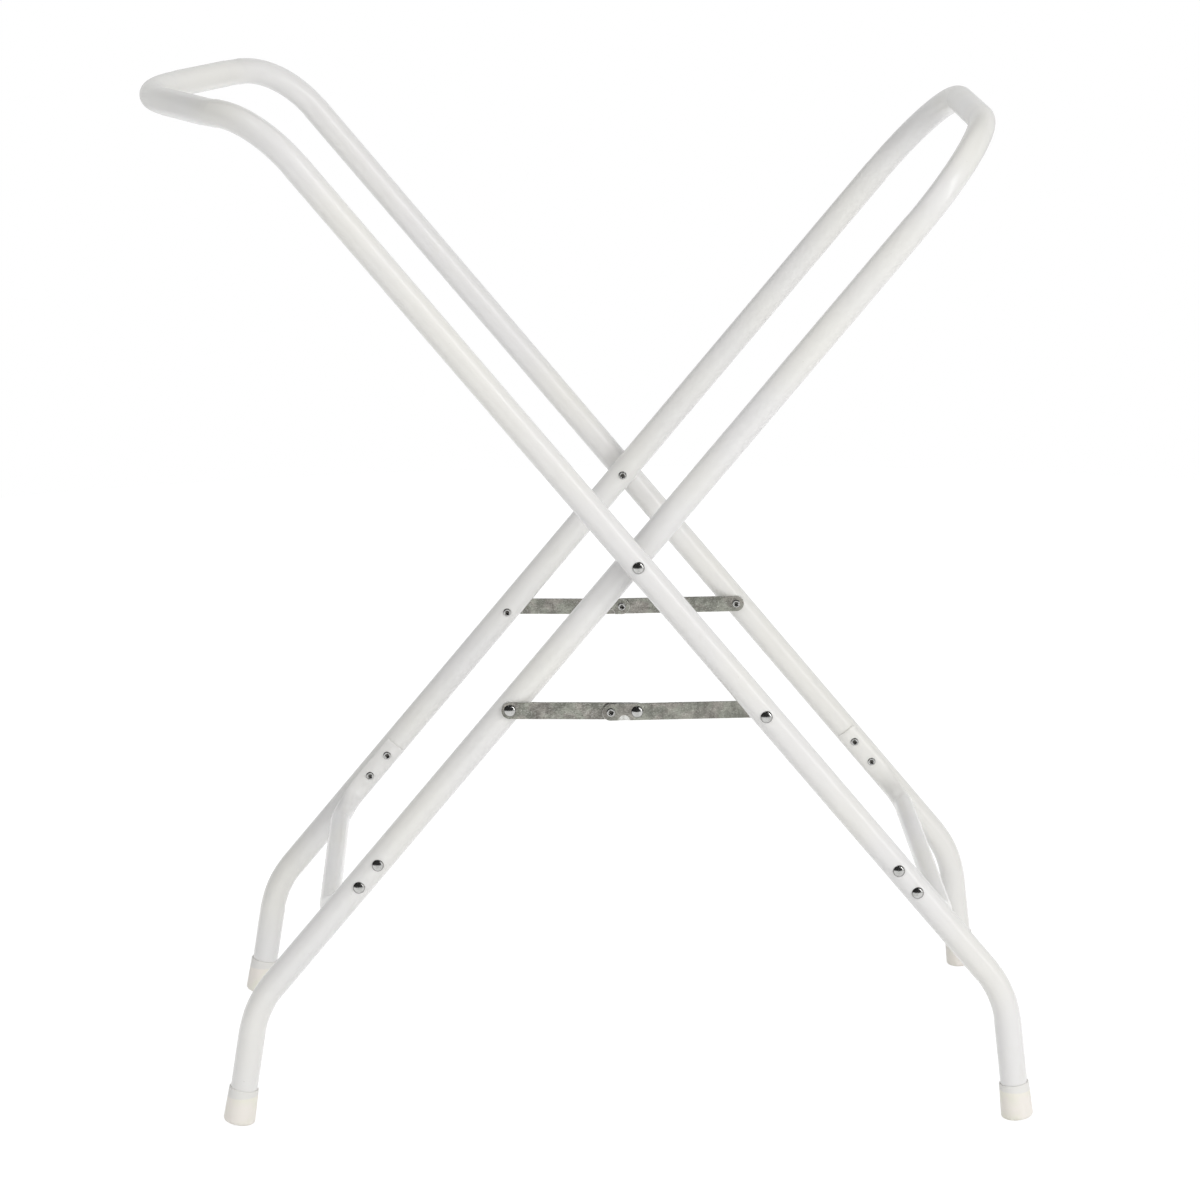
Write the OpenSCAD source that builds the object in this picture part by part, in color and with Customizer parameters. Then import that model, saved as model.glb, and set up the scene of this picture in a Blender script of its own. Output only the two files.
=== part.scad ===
// Folding baby bath stand: two bent tube frames that cross like scissors,
// held open by a two-bar strut on each side. Millimetres, +Z up, front is -Y.
// The origin lies on the floor under the middle of the open stand.

/* [Tube] */
// Outside diameter of the frame tube
tube_d = 25; // [20:0.5:28]
// Wall of the frame tube
tube_wall = 1.2; // [0.8:0.1:2]

/* [Stance] */
// Height of the crossing pivot above the floor
pivot_h = 534; // [480:1:600]
// Lean of the outer frame's legs from the vertical
outer_lean = 39; // [34:0.5:42]
// Lean of the inner frame's legs from the vertical
inner_lean = 40.5; // [34:0.5:42]
// Free gap between an outer and an inner leg, where the struts lie
leg_gap = 9; // [8.5:0.5:12]

/* [Outer frame] */
// Width of the outer frame, between the axes of its legs
outer_w = 440; // [400:5:500]
// Distance from the pivot up to the bend-over of the hoop
outer_top = 523; // [490:1:560]
// Bending radius of the bend-over
over_r = 84; // [60:1:84]
// How far the hoop's corner stands out from the bend-over
corner_out = 44; // [44:1:60]
// How far the hoop's corner stands in from the leg
corner_in = 52; // [52:1:70]
// Bending radius of the hoop's corner
corner_r = 90; // [60:1:90]
// How far the point of the hoop's bow stands out from the bend-over
bow_out = 125.5; // [100:0.5:150]
// Bending radius of the bow
bow_r = 183; // [100:1:220]
// Distance from the pivot down to the ankle bend
outer_ankle = 530; // [515:1:550]
// Lean of the shin below the ankle from the vertical
outer_shin_lean = 6; // [0:0.1:10]

/* [Inner frame] */
// Distance from the pivot up to the hoop's crossbar
inner_top = 497; // [450:1:520]
// Bending radius of the hoop's two corners
hoop_r = 108; // [60:1:120]
// Distance from the pivot down to the ankle bend
inner_ankle = 552; // [520:1:570]
// Lean of the shin below the ankle from the vertical
inner_shin_lean = 10; // [0:0.1:12]
// Bending radius of every ankle
ankle_r = 95; // [60:1:125]

/* [Foot caps] */
// Height of a foot cap
cap_h = 34; // [28:1:45]
// Diameter of a cap at its open rim
cap_rim_d = 27.6; // [27:0.1:30]
// Diameter of a cap at its base
cap_base_d = 29.6; // [28:0.1:32]
// Thickness of the cap under the tube's end
cap_floor = 6; // [4:0.5:8]
// Depth to which the floor flattens the base
cap_flat = 1; // [0.6:0.1:1.5]

/* [Cross braces] */
// Outside diameter of the brace tube
brace_d = 19; // [16:0.5:20]
// Wall of the brace tube
brace_wall = 1.2; // [0.8:0.1:1.6]
// Distance from the pivot down to the brace's crossbar
brace_at = 446; // [440:1:460]
// Bending radius of the brace's corners
brace_r = 30; // [26:1:32]
// Distance from the pivot down to the pressed end's edge
brace_end = 358; // [352:1:362]
// Distance from the pivot down to the first brace rivet
brace_rivet_at = 372; // [368:1:376]
// Distance between the two rivets of one brace end
brace_rivet_pitch = 27.5; // [24:0.5:30]
// Half the angle that a pressed end wraps round the leg
wrap = 46; // [40:1:60]

/* [Struts] */
// Distance from the pivot down to the strut rivets
strut_at = 181; // [170:1:195]
// Width of a strut bar
bar_w = 16; // [14:0.5:18]
// Thickness of a strut bar
bar_t = 2; // [1.5:0.1:2.2]
// Drop of the open knee below the straight line
knee_sag = 1.5; // [0:0.1:3]
// Length of the outer bar's tail, from the knee to the snap stud
tail_len = 24; // [20:0.5:28]
// Radius of the stop ear and of the notch that it drops into
ear_r = 4.8; // [3:0.1:5]

/* [Rivets] */
// Diameter of every rivet's shank
shank_d = 6; // [5:0.1:6.5]
// Diameter of every domed head
head_d = 11; // [9:0.1:12]
// Height of every domed head
head_h = 2.6; // [2:0.1:2.8]
// Diameter of every rolled tail
roll_d = 8; // [7.5:0.1:9]
// Height of every rolled tail
roll_h = 1.1; // [0.8:0.1:1.2]

/* [Hidden] */
$fn = 96;

FRONT = -1;
BACK = 1;
OUTER = 1;
INNER = -1;

tube_r = tube_d / 2;
shank_fit = 0.05;            // radial play of a shank in its hole
hole_d = shank_d + 2 * shank_fit;
face_play = 0.1;             // play between flat faces that slide
seat_fit = 0.02;             // play between a seat and the tube that it is shaped to
cap_round = 3;               // rounding of a cap's lower edge
saddle_d = 15;               // across a saddle washer
saddle_skirt = 2.5;          // how far a saddle reaches down the tube's sides
head_rim = 0.4;              // upright edge under a head's dome
head_skirt = 1.3;            // how far a head reaches down the tube's sides
roll_skirt = 0.7;            // how far a rolled tail reaches down the tube's sides
bend_lap = 0.4;              // how far a bend laps into the straight beside it
bend_draw = 0.4;             // how much a bend draws the tube's diameter in
press_past = 7;              // how far a brace's pressed end runs on past its last rivet
brace_play = 0.4;            // gap between a leg and the brace's round tube
brace_nest = 0.1;            // how far a brace's bend nests inside the plain tube at its ends
vent_d = 3;                  // vent hole in the middle of a brace
ring_points = 24;            // points round a brace's bend
ring_count = 12;             // rings along a brace's bend
hollow_from = 3;             // ring at which the pressed tube starts to open
round_by = 0.7;              // share of a brace's bend after which its tube is round
white = [0.93, 0.92, 0.90];
cream = [0.90, 0.89, 0.83];
zinc = [0.56, 0.56, 0.52];
steel = [0.78, 0.78, 0.78];
nylon = [0.86, 0.86, 0.84];

// Width of the inner frame follows from the outer one, less two tubes and two gaps.
inner_w = outer_w - 2 * (tube_d + leg_gap);

// Layers across the leg gap, counted out from the inner leg's side.
inner_bar_at = 1.5;
outer_bar_at = inner_bar_at + bar_t + 0.3;

// The hoop's point and the outer feet are what reaches furthest; the open stand is centred between them.
bow_tip = outer_top * sin(outer_lean) + bow_out - bow_r * (1 / cos(bow_half_turn()) - 1) + tube_r;
cap_tip = foot_x(outer_ankle, outer_lean, outer_shin_lean) + cap_base_d / 2;
pivot_x = (bow_tip - cap_tip) / 2;
pivot = [pivot_x, 0, pivot_h];

// Turn of the bow on one side of its point.
function bow_half_turn() = 90 - atan2(outer_w / 2 - corner_in, bow_out - corner_out);

// Distance of a foot from the pivot's plane, at the floor.
function foot_x(ankle, lean, shin_lean) =
    ankle * sin(lean) + (pivot_h - ankle * cos(lean)) * tan(shin_lean);

// Half the width of a frame, between the leg's axis and the middle.
function half_w(frame) = (frame == OUTER ? outer_w : inner_w) / 2;
function lean(frame) = frame == OUTER ? outer_lean : inner_lean;
function ankle(frame) = frame == OUTER ? outer_ankle : inner_ankle;
function shin_lean(frame) = frame == OUTER ? outer_shin_lean : inner_shin_lean;

// A point on a leg's axis, s below the pivot along the leg.
function on_leg(frame, s, y) = pivot + [frame * sin(lean(frame)) * s, y, -cos(lean(frame)) * s];

// Direction from a foot up its shin, and the middle of the cap's base.
function shin_up(frame) = [-frame * sin(shin_lean(frame)), 0, cos(shin_lean(frame))];
function base_h(frame) =
    (cap_base_d / 2 - cap_round) * sin(shin_lean(frame)) + cap_round * (1 - cos(shin_lean(frame))) - cap_flat;
function base_mid(frame) =
    pivot + [frame * foot_x(ankle(frame), lean(frame), shin_lean(frame)), -half_w(frame), -pivot_h]
    + shin_up(frame) * base_h(frame) / cos(shin_lean(frame));

function unit(v) = v / norm(v);
function mirrored(p) = [p.x, -p.y, p.z];

// Turn of a path at b, and the length that a bend of radius r takes from each side of b.
function turn(a, b, c) = acos(unit(b - a) * unit(c - b));
function trim(a, b, c, r) = r * tan(turn(a, b, c) / 2);

// A round bar from p to q.
module straight(p, q, d) {
    v = q - p;
    translate(p)
        rotate([0, acos(v.z / norm(v)), atan2(v.y, v.x)])
            cylinder(d = d, h = norm(v));
}

// Puts its child's X along x, its Y along y, and its origin at place.
module framed(x, y, place) {
    z = cross(x, y);
    multmatrix([
        [x.x, y.x, z.x, place.x],
        [x.y, y.y, z.y, place.y],
        [x.z, y.z, z.z, place.z]
    ])
        children();
}

// A bend of radius r that rounds the corner of a path at b. It laps a little into the straights
// beside it, and its diameter is drawn in a little.
module elbow(a, b, c, r, d) {
    u = unit(b - a);
    w = unit(c - b);
    inward = unit(w - (w * u) * u);
    start = b - u * trim(a, b, c, r);
    lap = bend_lap / r * 180 / PI;
    framed(-inward, u, start + inward * r)
        rotate([0, 0, -lap])
            rotate_extrude(angle = turn(a, b, c) + 2 * lap)
                translate([r, 0])
                    circle(d = d - bend_draw);
}

// A round bar along a path, whose inner corners are bent to the radii.
module bent_bar(path, radii, d) {
    last = len(path) - 1;
    cut = [for (i = [0 : last])
        i == 0 || i == last ? 0 : trim(path[i - 1], path[i], path[i + 1], radii[i - 1])];
    for (i = [0 : last - 1]) {
        along = unit(path[i + 1] - path[i]);
        straight(path[i] + along * cut[i], path[i + 1] - along * cut[i + 1], d);
    }
    for (i = [1 : last - 1])
        elbow(path[i - 1], path[i], path[i + 1], radii[i - 1], d);
}

// The same path with both ends run on by a little, for cutting through.
function run_on(path, by) = [
    for (i = [0 : len(path) - 1])
        i == 0 ? path[0] + unit(path[0] - path[1]) * by
        : i == len(path) - 1 ? path[i] + unit(path[i] - path[i - 1]) * by
        : path[i]
];

module bent_tube(path, radii) {
    difference() {
        bent_bar(path, radii, tube_d);
        bent_bar(run_on(path, 1), radii, tube_d - 2 * tube_wall);
    }
}

// Builds its child on the front, or its mirror image on the back.
module on_side(side) {
    mirror([0, side == BACK ? 1 : 0, 0])
        children();
}

// Places its child on a front leg, s below the pivot: Z points forward, X down the leg,
// and the origin lies on the leg's axis.
module at_leg(frame, s) {
    down = [frame * sin(lean(frame)), 0, -cos(lean(frame))];
    framed(down, cross([0, FRONT, 0], down), on_leg(frame, s, -half_w(frame)))
        children();
}

// Holes through both walls of each leg for the pivot, the strut and the two brace rivets.
module leg_holes(frame) {
    for (side = [FRONT, BACK])
        on_side(side)
            for (s = [0, strut_at, brace_rivet_at, brace_rivet_at + brace_rivet_pitch])
                at_leg(frame, s)
                    cylinder(d = hole_d, h = tube_d + 2, center = true);
}

function leg_end(frame) = base_mid(frame) + shin_up(frame) * cap_floor;

module outer_frame_tube() {
    foot = leg_end(OUTER);
    knuckle = on_leg(OUTER, outer_ankle, -half_w(OUTER));
    over = on_leg(OUTER, -outer_top, -half_w(OUTER));
    corner = over + [-corner_out, corner_in, 0];
    point = [over.x - bow_out, 0, over.z];
    path = [
        foot, knuckle, over, corner, point,
        mirrored(corner), mirrored(over), mirrored(knuckle), mirrored(foot)
    ];
    color(white)
        difference() {
            bent_tube(path, [ankle_r, over_r, corner_r, bow_r, corner_r, over_r, ankle_r]);
            leg_holes(OUTER);
        }
}

module inner_frame_tube() {
    foot = leg_end(INNER);
    knuckle = on_leg(INNER, inner_ankle, -half_w(INNER));
    corner = on_leg(INNER, -inner_top, -half_w(INNER));
    path = [foot, knuckle, corner, mirrored(corner), mirrored(knuckle), mirrored(foot)];
    color(white)
        difference() {
            bent_tube(path, [ankle_r, hoop_r, hoop_r, ankle_r]);
            leg_holes(INNER);
        }
}

// Cross brace: a round crossbar whose ends are pressed to a crescent that lies on the leg's inner side.
press_in_r = tube_r + 0.1;
press_out_r = press_in_r + 2 * brace_wall;
press_to = brace_rivet_at + brace_rivet_pitch + press_past;
brace_off = press_in_r + brace_play + brace_d / 2;   // from the leg's axis to the round tube's axis

function smooth(t) = t * t * (3 - 2 * t);

// Outline points of the pressed end less an inset, as [toward the middle, out of plane] from the leg's axis.
function pressed(k, inset) =
    let (half = ring_points / 2, outward = k < half, j = outward ? k : ring_points - 1 - k,
         r = outward ? press_out_r - inset : press_in_r + inset,
         a = (wrap - inset / r * 180 / PI) * (2 * j / (half - 1) - 1))
    [r * cos(a), r * sin(a)];

// The matching points of the round tube.
function rounded(k, inset) =
    let (a = -90 + 360 * (k + 0.5) / ring_points, r = brace_d / 2 - inset)
    [brace_off + r * cos(a), r * sin(a)];

// One ring of the bend at u from 0 to 1: along the leg first, then round the corner to the crossbar.
function ring(frame, u, inset) =
    let (lead = brace_at - brace_r - press_to, v = u * (lead + brace_r * PI / 2),
         h = v < lead ? 0 : (v - lead) / brace_r * 180 / PI,
         x = press_to + min(v, lead) + brace_r * sin(h),
         y = -half_w(frame) + brace_off + brace_r * (1 - cos(h)),
         w = smooth(min(1, u / round_by)))
    [for (k = [0 : ring_points - 1])
        let (p = (1 - w) * pressed(k, inset) + w * rounded(k, inset), side = p.x - brace_off)
        [x - sin(h) * side, y + cos(h) * side, p.y]];

// The walls between neighbouring rings of a skin that starts at point number start.
function skin(start, rings) = [
    for (i = [0 : rings - 2], k = [0 : ring_points - 1])
        let (a = start + i * ring_points + k, b = start + i * ring_points + (k + 1) % ring_points)
        each [[a, b + ring_points, b], [a, a + ring_points, b + ring_points]]
];

// The flat end of a skin, closed by a strip from the outer arc to the inner one.
function cap(start) = [
    for (k = [0 : ring_points / 2 - 2])
        let (a = start + k, b = start + ring_points - 1 - k)
        each [[a, a + 1, b], [a + 1, b - 1, b]]
];

function flipped(faces) = [for (f = faces) [f[0], f[2], f[1]]];

// The brace's bend, from the pressed end to the round crossbar, hollow where the tube opens.
module brace_bend(frame) {
    n = ring_points;
    outside = [for (i = [0 : ring_count]) each ring(frame, i / ring_count, brace_nest)];
    inside = [for (i = [hollow_from : ring_count]) each ring(frame, i / ring_count, brace_wall - brace_nest)];
    first = len(outside);
    outer_end = first - n;
    inner_end = first + len(inside) - n;
    end = [
        for (k = [0 : n - 1])
            let (a = outer_end + k, b = outer_end + (k + 1) % n,
                 c = inner_end + k, d = inner_end + (k + 1) % n)
            each [[a, d, b], [a, c, d]]
    ];
    polyhedron(
        points = concat(outside, inside),
        faces = concat(
            skin(0, ring_count + 1),
            flipped(skin(first, ring_count + 1 - hollow_from)),
            cap(0),
            flipped(cap(first)),
            end
        ),
        convexity = 8
    );
}

module brace_end(frame) {
    difference() {
        translate([brace_end, -half_w(frame), 0])
            rotate([0, 90, 0])
                rotate([0, 0, 90 - wrap])
                    rotate_extrude(angle = 2 * wrap)
                        translate([press_in_r, 0])
                            square([press_out_r - press_in_r, press_to + bend_lap - brace_end]);
        for (s = [brace_rivet_at, brace_rivet_at + brace_rivet_pitch])
            translate([s, -half_w(frame), 0])
                rotate([-90, 0, 0])
                    cylinder(d = hole_d, h = brace_off);
    }
}

module cross_brace(frame) {
    reach = half_w(frame) - brace_off - brace_r + bend_lap;
    color(white)
        framed([frame * sin(lean(frame)), 0, -cos(lean(frame))], [0, 1, 0], pivot)
            union() {
                for (side = [FRONT, BACK])
                    on_side(side) {
                        brace_end(frame);
                        brace_bend(frame);
                    }
                difference() {
                    straight([brace_at, -reach, 0], [brace_at, reach, 0], brace_d);
                    straight([brace_at, -reach - 1, 0], [brace_at, reach + 1, 0], brace_d - 2 * brace_wall);
                    translate([brace_at, 0, 0])
                        rotate([0, 90, 0])
                            cylinder(d = vent_d, h = brace_d);
                }
            }
}

module outer_cross_brace() cross_brace(OUTER);
module inner_cross_brace() cross_brace(INNER);

// Foot cap: a cup pushed over the shin, flattened where it stands.
module foot_cap(frame, side) {
    rim_r = cap_rim_d / 2;
    base_r = cap_base_d / 2;
    bore_r = tube_r + 0.05;
    color(cream)
        on_side(side)
            difference() {
                translate(base_mid(frame))
                    rotate([0, -frame * shin_lean(frame), 0])
                        rotate_extrude() {
                            polygon([
                                [0, 0], [base_r - cap_round, 0], [base_r - cap_round, cap_round],
                                [base_r, cap_round], [rim_r, cap_h], [bore_r, cap_h],
                                [bore_r, cap_floor], [0, cap_floor]
                            ]);
                            translate([base_r - cap_round, cap_round])
                                circle(r = cap_round);
                        }
                translate(base_mid(frame) - [cap_base_d, cap_base_d, 0])
                    translate([0, 0, -base_mid(frame).z - 10])
                        cube([2 * cap_base_d, 2 * cap_base_d, 10]);
            }
}

module outer_front_foot() foot_cap(OUTER, FRONT);
module outer_back_foot() foot_cap(OUTER, BACK);
module inner_front_foot() foot_cap(INNER, FRONT);
module inner_back_foot() foot_cap(INNER, BACK);

// The round leg that a seat is shaped to, its axis seat_r under z.
module seat(seat_r) {
    rotate([0, 90, 0])
        cylinder(r = seat_r + seat_fit, h = 4 * saddle_d, center = true);
}

// Domed head that stands on z = at. A seat_r over 0 shapes its underside to a tube on the X axis.
module dome(at, seat_r = 0) {
    skirt = seat_r > 0 ? head_skirt : 0;
    cap_h = head_h - head_rim;
    ball_r = (head_d * head_d / 4 + cap_h * cap_h) / (2 * cap_h);
    difference() {
        translate([0, 0, at])
            rotate_extrude() {
                translate([0, -skirt])
                    square([head_d / 2, skirt + head_rim]);
                translate([0, head_rim])
                    intersection() {
                        translate([0, cap_h - ball_r])
                            circle(r = ball_r);
                        square([head_d, cap_h]);
                    }
            }
        if (seat_r > 0)
            seat(seat_r);
    }
}

// Rolled end of a semi-tubular shank, hanging down from z = at, with the shank from there up to z = to.
module rolled_shank(at, to, seat_r = 0) {
    skirt = seat_r > 0 ? roll_skirt : 0;
    edge = roll_h * 0.8;
    difference() {
        union() {
            difference() {
                translate([0, 0, at])
                    mirror([0, 0, 1])
                        rotate_extrude() {
                            translate([0, -skirt])
                                square([roll_d / 2, roll_h - edge + skirt]);
                            square([roll_d / 2 - edge, roll_h]);
                            translate([roll_d / 2 - edge, roll_h - edge])
                                intersection() {
                                    circle(r = edge);
                                    square(edge);
                                }
                        }
                if (seat_r > 0)
                    seat(seat_r);
            }
            translate([0, 0, at - roll_h / 2])
                cylinder(d = shank_d, h = to - at + roll_h / 2);
        }
        translate([0, 0, at - roll_h - 1])
            cylinder(d1 = roll_d * 0.7, d2 = roll_d * 0.35, h = 1 + roll_h * 1.4);
    }
}

// Rivet between z = tail_at and z = head_at.
module rivet(head_at, tail_at, head_seat = 0, tail_seat = 0) {
    color(steel)
        union() {
            dome(head_at, head_seat);
            rolled_shank(tail_at, head_at + head_h / 3, tail_seat);
        }
}

// Where the layers of the gap lie, counted from an inner leg's axis and from an outer leg's axis.
function over_inner(layer) = tube_r + layer;
function under_outer(layer) = layer - leg_gap - tube_r;

module pivot_rivet(side) {
    on_side(side)
        at_leg(OUTER, 0)
            rivet(tube_r, under_outer(-tube_d) - face_play, head_seat = tube_r);
}

module front_pivot_rivet() pivot_rivet(FRONT);
module back_pivot_rivet() pivot_rivet(BACK);

// Washer from the tube's side out to z = face, saddled on the tube. A face under 0 lies on the other side.
module saddle(face) {
    inner_z = tube_r - saddle_skirt;
    color(nylon)
        mirror([0, 0, face < 0 ? 1 : 0])
            difference() {
                translate([0, 0, inner_z])
                    cylinder(d = saddle_d, h = abs(face) - inner_z);
                seat(tube_r);
                cylinder(d = hole_d, h = 3 * tube_d, center = true);
            }
}

module front_outer_saddle() at_leg(OUTER, 0) saddle(under_outer(leg_gap / 2 + face_play / 2));
module back_outer_saddle() on_side(BACK) front_outer_saddle();
module front_inner_saddle() at_leg(INNER, 0) saddle(over_inner(leg_gap / 2 - face_play / 2));
module back_inner_saddle() on_side(BACK) front_inner_saddle();

module front_outer_strut_washer()
    at_leg(OUTER, strut_at) saddle(under_outer(outer_bar_at + bar_t + face_play));
module back_outer_strut_washer() on_side(BACK) front_outer_strut_washer();
module front_inner_strut_washer() at_leg(INNER, strut_at) saddle(over_inner(inner_bar_at - face_play));
module back_inner_strut_washer() on_side(BACK) front_inner_strut_washer();

// Struts. The knee hangs a little below the middle of the line between the two strut rivets.
crown_y = -half_w(INNER) - tube_r;
inner_pin = [on_leg(INNER, strut_at, 0).x, crown_y, on_leg(INNER, strut_at, 0).z];
outer_pin = [on_leg(OUTER, strut_at, 0).x, crown_y, on_leg(OUTER, strut_at, 0).z];
pin_line = unit(outer_pin - inner_pin);
knee = (inner_pin + outer_pin) / 2 + cross(pin_line, [0, FRONT, 0]) * knee_sag;
bar_len = norm(knee - inner_pin);
ear_at = tail_len / 2;

// Places its child on a front strut bar: X runs from the leg's pin to the knee, Z points forward,
// and z = 0 is the inner leg's outer side. Y points up on the inner bar and down on the outer one.
module on_bar(frame) {
    pin = frame == OUTER ? outer_pin : inner_pin;
    along = unit(knee - pin);
    framed(along, cross([0, FRONT, 0], along), pin)
        children();
}

// Flat bar with round ends at x = 0 and x = length.
module flat_bar(length) {
    linear_extrude(height = bar_t) {
        translate([0, -bar_w / 2])
            square([length, bar_w]);
        circle(d = bar_w);
        translate([length, 0])
            circle(d = bar_w);
    }
}

module pin_hole(x, d) {
    translate([x, 0, -1])
        cylinder(d = d, h = bar_t + 2);
}

// The inner bar ends at the knee. Its lower edge has the notch for the stop ear,
// and the snap stud drops into the hole behind it.
module inner_strut() {
    ear_play = 0.4;
    color(zinc)
        on_bar(INNER)
            translate([0, 0, inner_bar_at])
                difference() {
                    flat_bar(bar_len);
                    pin_hole(0, hole_d);
                    pin_hole(bar_len, hole_d);
                    pin_hole(bar_len - tail_len, shank_d + 0.6);
                    translate([bar_len - ear_at, -bar_w / 2, -1])
                        cylinder(r = ear_r + ear_play, h = bar_t + 2);
                }
}

// The outer bar runs on past the knee as a tail, with the stop ear pressed into its lower edge.
module outer_strut() {
    ear_depth = bar_t * 0.55;
    color(zinc)
        on_bar(OUTER)
            translate([0, 0, outer_bar_at])
                difference() {
                    flat_bar(bar_len + tail_len);
                    pin_hole(0, hole_d);
                    pin_hole(bar_len, hole_d);
                    pin_hole(bar_len + tail_len, hole_d);
                    translate([bar_len + ear_at, bar_w / 2, bar_t - ear_depth])
                        cylinder(r = ear_r, h = bar_t);
                }
}

module front_inner_strut() inner_strut();
module back_inner_strut() on_side(BACK) inner_strut();
module front_outer_strut() outer_strut();
module back_outer_strut() on_side(BACK) outer_strut();

module front_inner_strut_rivet()
    at_leg(INNER, strut_at)
        rivet(over_inner(inner_bar_at + bar_t + face_play), -tube_r, tail_seat = tube_r);
module back_inner_strut_rivet() on_side(BACK) front_inner_strut_rivet();

module front_outer_strut_rivet()
    at_leg(OUTER, strut_at)
        rivet(tube_r, under_outer(outer_bar_at - face_play), head_seat = tube_r);
module back_outer_strut_rivet() on_side(BACK) front_outer_strut_rivet();

// The knee rivet is parted between the bars: its head turns with the outer bar, its tail with the inner one.
module front_knee_rivet_head()
    color(steel)
        on_bar(OUTER)
            translate([bar_len, 0, 0]) {
                dome(outer_bar_at + bar_t);
                translate([0, 0, outer_bar_at - face_play])
                    cylinder(d = shank_d, h = bar_t + face_play + head_h / 3);
            }
module back_knee_rivet_head() on_side(BACK) front_knee_rivet_head();

module front_knee_rivet_tail()
    color(steel)
        on_bar(INNER)
            translate([bar_len, 0, 0])
                rolled_shank(inner_bar_at, inner_bar_at + bar_t + face_play);
module back_knee_rivet_tail() on_side(BACK) front_knee_rivet_tail();

module front_snap_stud()
    color(steel)
        on_bar(OUTER)
            translate([bar_len + tail_len, 0, outer_bar_at + bar_t])
                mirror([0, 0, 1])
                    rolled_shank(0, bar_t + face_play);
module back_snap_stud() on_side(BACK) front_snap_stud();

// Two rivets at each end of a brace, through the leg and the pressed end.
module brace_rivets(frame) {
    for (side = [FRONT, BACK])
        on_side(side)
            for (s = [brace_rivet_at, brace_rivet_at + brace_rivet_pitch])
                at_leg(frame, s)
                    rivet(tube_r, -press_out_r, head_seat = tube_r, tail_seat = press_out_r);
}

module outer_brace_rivets() brace_rivets(OUTER);
module inner_brace_rivets() brace_rivets(INNER);

outer_frame_tube();
inner_frame_tube();
outer_cross_brace();
inner_cross_brace();
outer_front_foot();
outer_back_foot();
inner_front_foot();
inner_back_foot();
front_pivot_rivet();
back_pivot_rivet();
front_outer_saddle();
back_outer_saddle();
front_inner_saddle();
back_inner_saddle();
front_outer_strut();
back_outer_strut();
front_inner_strut();
back_inner_strut();
front_outer_strut_rivet();
back_outer_strut_rivet();
front_inner_strut_rivet();
back_inner_strut_rivet();
front_outer_strut_washer();
back_outer_strut_washer();
front_inner_strut_washer();
back_inner_strut_washer();
front_knee_rivet_head();
back_knee_rivet_head();
front_knee_rivet_tail();
back_knee_rivet_tail();
front_snap_stud();
back_snap_stud();
outer_brace_rivets();
inner_brace_rivets();
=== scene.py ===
import math

import bpy
from mathutils import Matrix, Vector
from mathutils.geometry import tessellate_polygon


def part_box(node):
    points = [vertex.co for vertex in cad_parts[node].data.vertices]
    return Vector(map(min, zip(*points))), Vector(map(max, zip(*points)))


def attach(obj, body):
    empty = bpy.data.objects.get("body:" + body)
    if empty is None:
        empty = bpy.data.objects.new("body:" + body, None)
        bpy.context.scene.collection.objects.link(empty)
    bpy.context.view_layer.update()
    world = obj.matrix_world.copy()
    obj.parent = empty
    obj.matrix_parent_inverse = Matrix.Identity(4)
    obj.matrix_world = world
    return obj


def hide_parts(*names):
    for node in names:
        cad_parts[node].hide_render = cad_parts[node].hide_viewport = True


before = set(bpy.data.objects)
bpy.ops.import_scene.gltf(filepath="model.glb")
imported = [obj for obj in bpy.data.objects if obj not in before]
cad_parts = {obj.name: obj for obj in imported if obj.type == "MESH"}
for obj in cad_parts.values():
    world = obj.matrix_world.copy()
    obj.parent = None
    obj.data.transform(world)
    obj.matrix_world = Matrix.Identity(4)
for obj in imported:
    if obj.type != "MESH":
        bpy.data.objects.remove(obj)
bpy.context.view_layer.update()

# ---------------------------------------------------------------- the stand's own sizes, in metres
TUBE_D = 0.025
TUBE_R = TUBE_D / 2
BEND_DRAW = 0.00028  # how much thinner the tube's radius is round a bend
FRONT, BACK = -1, 1
SIGN = {"outer": 1, "inner": -1}
LEAN = {"outer": math.radians(39), "inner": math.radians(40.5)}
SHIN_LEAN = {"outer": math.radians(6), "inner": math.radians(10)}
ANKLE_AT = {"outer": 0.530, "inner": 0.552}
ANKLE_R = 0.095
OUTER_TOP, OVER_R = 0.523, 0.084
CORNER_OUT, CORNER_IN, CORNER_R = 0.044, 0.052, 0.090
BOW_OUT, BOW_R = 0.1255, 0.183
INNER_TOP, HOOP_R = 0.497, 0.108
CAP_H, CAP_RIM_D, CAP_BASE_D, CAP_FLOOR, CAP_FLAT, CAP_ROUND = 0.034, 0.0276, 0.0296, 0.006, 0.001, 0.003
BRACE_D, BRACE_WALL, BRACE_AT, BRACE_R = 0.019, 0.0012, 0.446, 0.030
BRACE_END, BRACE_RIVETS, WRAP = 0.358, (0.372, 0.3995), math.radians(46)
STRUT_AT, BAR_W, BAR_T = 0.181, 0.016, 0.002
TAIL_LEN, EAR_R, EAR_PLAY, STUD_HOLE_D = 0.024, 0.0048, 0.0004, 0.0066
PIN_PLAY = 0.00005  # round a rivet in its hole, and round a tube in its cap
SEAT_GAP = 0.0001  # under a rivet's tail, and between a knee rivet's two halves
SHANK_D, HEAD_D, HEAD_H, HEAD_RIM = 0.006, 0.011, 0.0026, 0.0004
ROLL_D, ROLL_H, PETALS, PETAL_DEPTH = 0.008, 0.0011, 4, 0.14

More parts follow.
